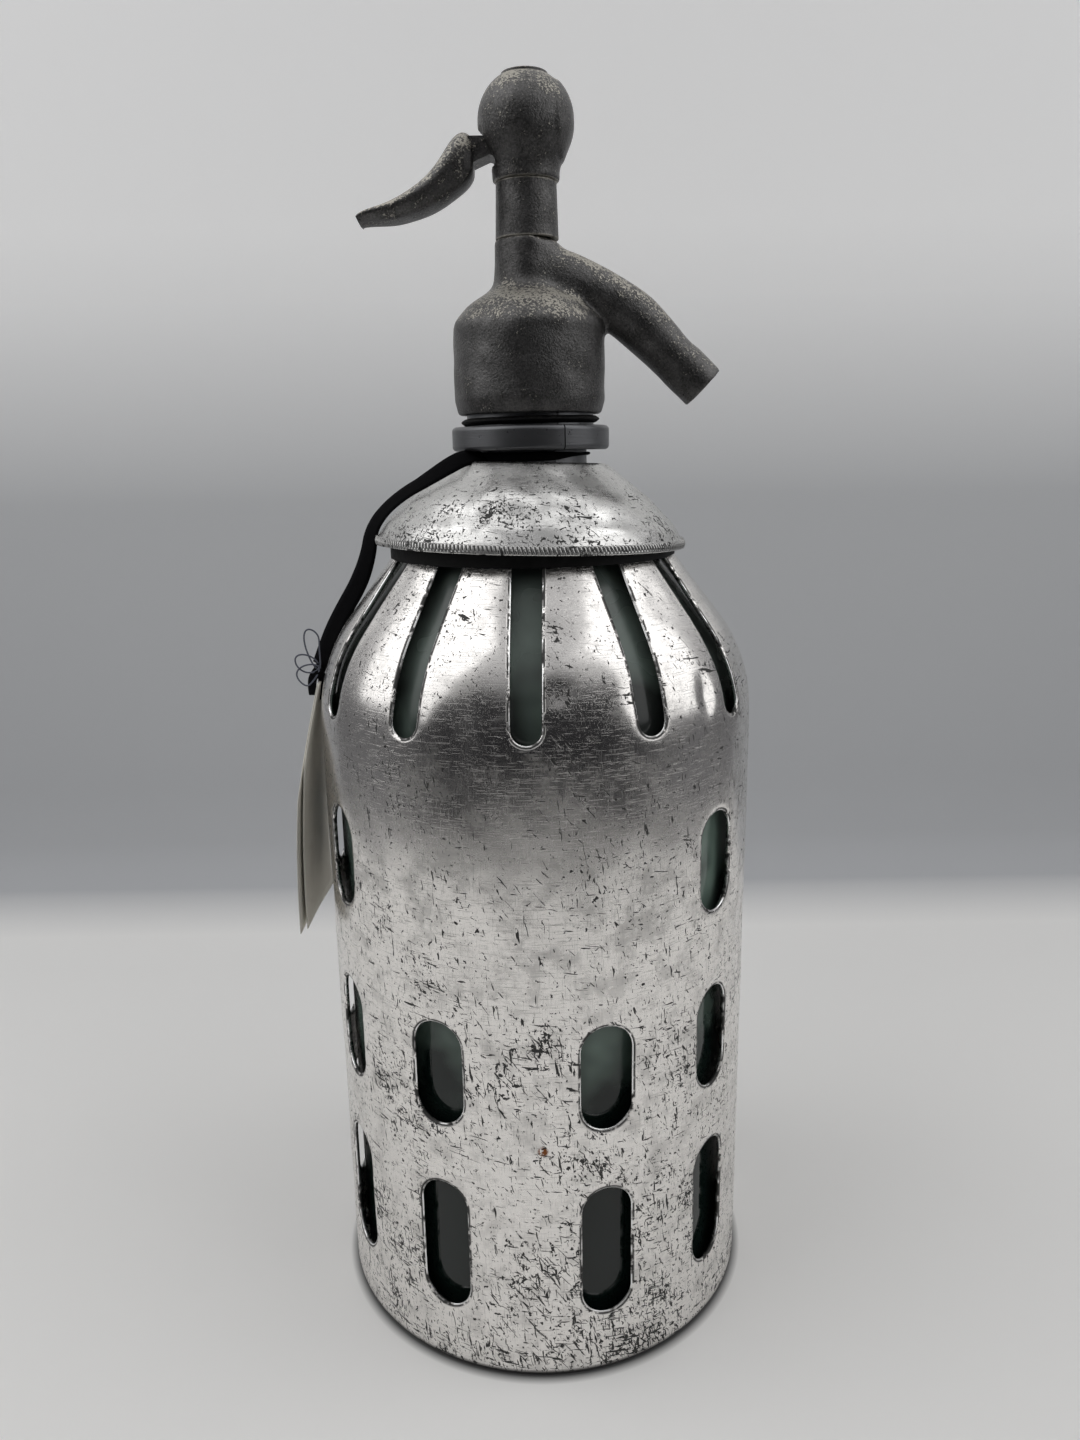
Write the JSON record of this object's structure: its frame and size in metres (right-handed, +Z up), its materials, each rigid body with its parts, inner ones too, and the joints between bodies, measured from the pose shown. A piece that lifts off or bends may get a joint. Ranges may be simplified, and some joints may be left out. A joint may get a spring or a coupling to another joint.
{
  "type": "soda siphon",
  "caption": "Soda siphon: thick glass bottle in a windowed aluminium jacket, domed shoulder, split neck collar and a cast head with a bent spout, a thumb lever and a spring valve.",
  "frame": {"origin": "centre of the foot, on the surface that the siphon stands on", "axes": "+Z up, +X towards the spout, -X towards the lever; -Y is the front"},
  "size_m": [0.1213, 0.114, 0.3174],
  "materials": {
    "jacket_aluminium": "worn polish",
    "head_casting": "dull",
    "collar_metal": "satin",
    "valve_brass": "satin",
    "spring_steel": "satin",
    "black_rubber": "matt",
    "green_glass": "gloss",
    "black_ribbon": "matt",
    "tag_card": "matt"
  },
  "bodies": {
    "siphon": {"jacket": "jacket_aluminium", "base_plate": "jacket_aluminium", "base_pad": "black_rubber", "glass_bottle": "green_glass", "shoulder_dome": "jacket_aluminium", "dome_ring": "black_rubber", "neck_bushing": "black_rubber", "neck_liner": "black_rubber", "collar_half_left": "collar_metal", "collar_half_right": "collar_metal", "mouth_gasket": "black_rubber", "head_body": "head_casting", "dip_tube": "green_glass", "tube_sleeve": "black_rubber", "valve_seat": "valve_brass", "valve_barrel": "head_casting", "stem_packing": "black_rubber", "gland_nut": "valve_brass", "valve_spring": "spring_steel", "lever_housing": "head_casting", "side_plug": "head_casting", "top_cap": "head_casting", "lever_pin": "spring_steel", "ribbon_loop": "black_ribbon", "tag_ribbon": "black_ribbon", "tag_knot": "black_ribbon", "paper_tag": "tag_card"},
    "lever": {"lever": "head_casting"},
    "valve": {"valve_stem": "valve_brass", "valve_washer": "black_rubber", "washer_screw": "valve_brass", "stem_nut": "valve_brass"}
  },
  "joints": [
    {"name": "lever_press", "type": "hinge", "parent": "siphon", "child": "lever", "pos_m": [-0.0065, 0, 0.301], "axis": [0, -1, 0], "range_deg": [0, 18], "stiffness_Nm_per_rad": 0.108, "springref_deg": -34.87},
    {"name": "valve_lift", "type": "slide", "parent": "siphon", "child": "valve", "axis": [0, 0, 1], "range_m": [0, 0.00208], "deforming": ["valve_spring"]}
  ],
  "couplings": [
    {"joint": "valve_lift", "follows": "lever_press", "m_per_rad": 0.006573}
  ]
}
